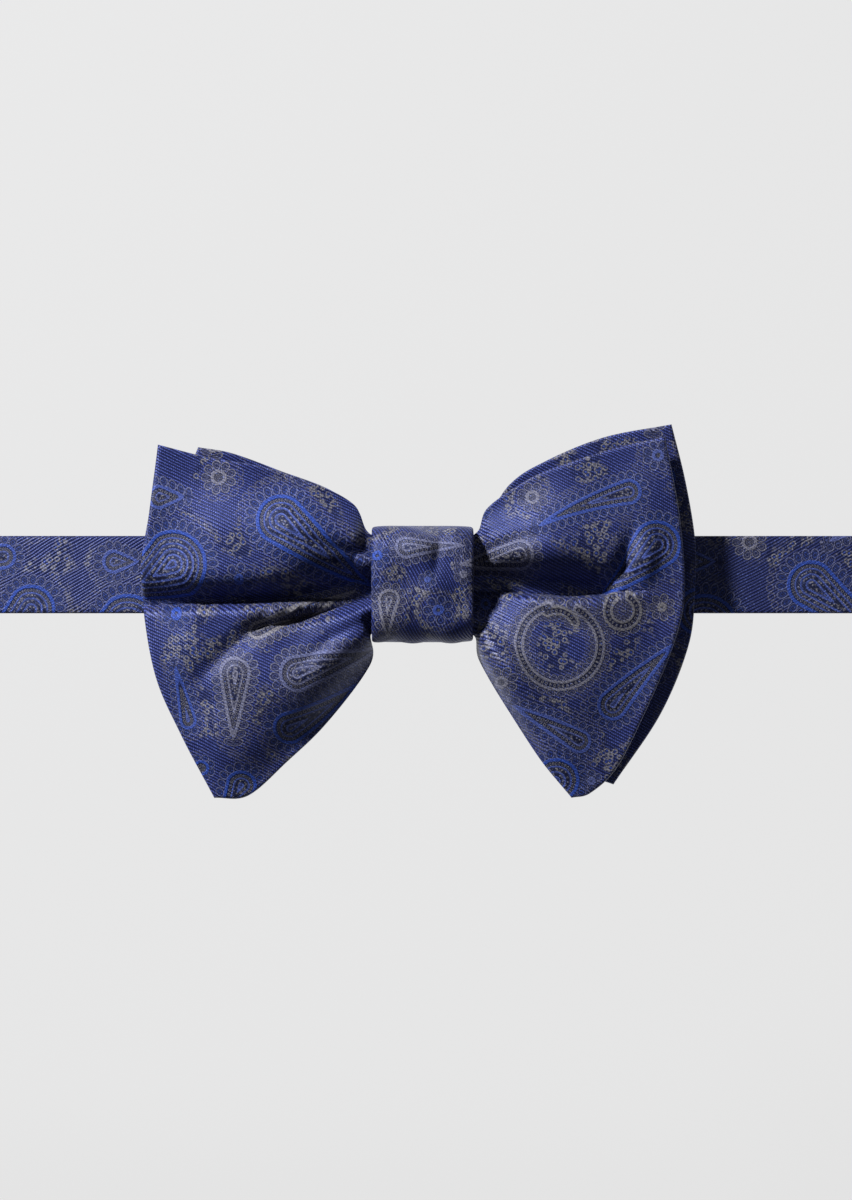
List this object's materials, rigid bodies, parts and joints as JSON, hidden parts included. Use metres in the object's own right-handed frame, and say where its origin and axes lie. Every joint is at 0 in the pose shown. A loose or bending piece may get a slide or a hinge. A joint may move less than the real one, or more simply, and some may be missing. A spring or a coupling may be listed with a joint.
{
  "type": "bow tie",
  "caption": "Pre-tied bow tie of paisley jacquard silk: two layered bows under a wrapped knot, on an adjustable neckband with a hook and an eye.",
  "frame": {"origin": "on the surface that the tie lies on, under the middle of its box", "axes": "+X along the opened band towards the hook, +Y up the bow as worn, +Z out of the front of the bow"},
  "size_m": [0.43, 0.0864, 0.0173],
  "materials": {
    "silk": "navy paisley jacquard silk",
    "interlining": "woven interlining",
    "thread": "sewing thread",
    "metal": "bright nickel plate"
  },
  "bodies": {
    "bow": {"front_bow_face": "silk", "front_bow_interlining": "interlining", "front_bow_back": "silk", "rear_bow_face": "silk", "rear_bow_interlining": "interlining", "rear_bow_back": "silk", "waist_thread": "thread", "knot_wrap": "silk", "knot_interlining": "interlining", "knot_stitches": "thread", "band_centre": "silk", "band_centre_interlining": "interlining", "band_tacks": "thread"},
    "left_near": {"left_band_near": "silk", "left_band_near_interlining": "interlining"},
    "left_middle": {"left_band_middle": "silk", "left_band_middle_interlining": "interlining"},
    "left_end": {"left_band_end": "silk", "left_band_end_interlining": "interlining", "eye_bar_tack": "thread"},
    "eye": {"eye": "metal"},
    "right_near": {"right_band_near": "silk", "right_band_near_interlining": "interlining"},
    "right_middle": {"right_band_middle": "silk", "right_band_middle_interlining": "interlining"},
    "right_end": {"right_band_end": "silk", "right_band_end_interlining": "interlining"},
    "hook_end": {"band_run": "silk", "hook_fold": "silk", "adjuster_tail": "silk"},
    "hook": {"hook": "metal"},
    "adjuster": {"adjuster": "metal", "adjuster_loop": "silk", "adjuster_bar_tack": "thread"}
  },
  "joints": [
    {"name": "left_curl", "type": "hinge", "parent": "bow", "child": "left_near", "pos_m": [-0.045, 0.0084, 0.0005], "axis": [0, -1, 0], "range_deg": [-10, 43]},
    {"name": "left_curl_middle", "type": "hinge", "parent": "left_near", "child": "left_middle", "pos_m": [-0.08, 0.0084, 0.0005], "axis": [0, -1, 0], "range_deg": [-10, 43]},
    {"name": "left_curl_end", "type": "hinge", "parent": "left_middle", "child": "left_end", "pos_m": [-0.115, 0.0084, 0.0005], "axis": [0, -1, 0], "range_deg": [-10, 43]},
    {"name": "eye_swing", "type": "hinge", "parent": "left_end", "child": "eye", "pos_m": [-0.203, 0.0084, 0.00165], "axis": [0, -1, 0], "range_deg": [-60, 50]},
    {"name": "right_curl", "type": "hinge", "parent": "bow", "child": "right_near", "pos_m": [0.045, 0.0084, 0.0005], "axis": [0, 1, 0], "range_deg": [-10, 43]},
    {"name": "right_curl_middle", "type": "hinge", "parent": "right_near", "child": "right_middle", "pos_m": [0.08, 0.0084, 0.0005], "axis": [0, 1, 0], "range_deg": [-10, 43]},
    {"name": "right_curl_end", "type": "hinge", "parent": "right_middle", "child": "right_end", "pos_m": [0.115, 0.0084, 0.0005], "axis": [0, 1, 0], "range_deg": [-10, 43]},
    {"name": "band_length", "type": "slide", "parent": "right_end", "child": "hook_end", "axis": [1, 0, 0], "range_m": [-0.02, 0.005], "deforming": ["band_run"]},
    {"name": "adjuster_slide", "type": "slide", "parent": "hook_end", "child": "adjuster", "axis": [1, 0, 0], "range_m": [-0.02, 0.005], "deforming": ["adjuster_tail"]},
    {"name": "hook_swing", "type": "hinge", "parent": "hook_end", "child": "hook", "pos_m": [0.197, 0.0084, 0.0022], "axis": [0, 1, 0], "range_deg": [-60, 50]}
  ],
  "couplings": [
    {"joint": "left_curl_middle", "follows": "left_curl", "ratio": 1},
    {"joint": "left_curl_end", "follows": "left_curl", "ratio": 1},
    {"joint": "right_curl_middle", "follows": "right_curl", "ratio": 1},
    {"joint": "right_curl_end", "follows": "right_curl", "ratio": 1},
    {"joint": "adjuster_slide", "follows": "band_length", "ratio": 1}
  ]
}
